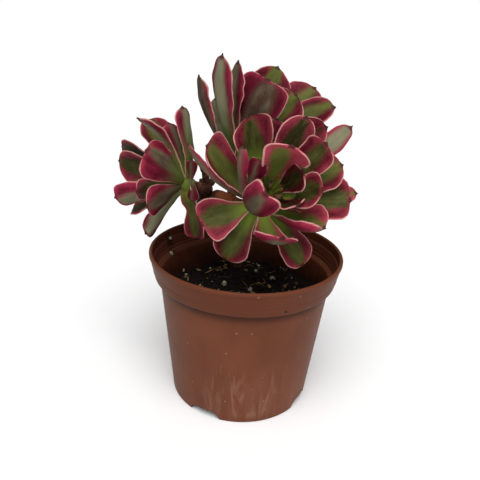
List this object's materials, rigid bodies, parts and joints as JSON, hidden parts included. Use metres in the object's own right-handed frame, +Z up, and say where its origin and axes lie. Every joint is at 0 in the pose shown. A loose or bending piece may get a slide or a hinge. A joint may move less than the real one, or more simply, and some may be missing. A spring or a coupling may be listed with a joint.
{
  "type": "potted aeonium",
  "caption": "Branching succulent with rosettes of spoon-shaped, green and crimson leaves on short woody stems, standing in a round tapered plastic nursery pot of soil.",
  "frame": {"origin": "bottom centre of the whole outline, on the surface that the pot stands on; the pot's own axis lies about 10 mm to +X of it, because the plant leans out further to -X", "axes": "+Z up, -Y is the front that faces the viewer, +X is the viewer's right"},
  "size_m": [0.1506, 0.12, 0.2121],
  "materials": {
    "pot": "satin",
    "soil": "rough",
    "stem": "rough",
    "leaf": "satin"
  },
  "bodies": {
    "root": {"pot": "pot", "soil": "soil", "stems": "stem", "rosette_front": "leaf", "rosette_upper": "leaf", "rosette_left": "leaf"}
  },
  "joints": []
}
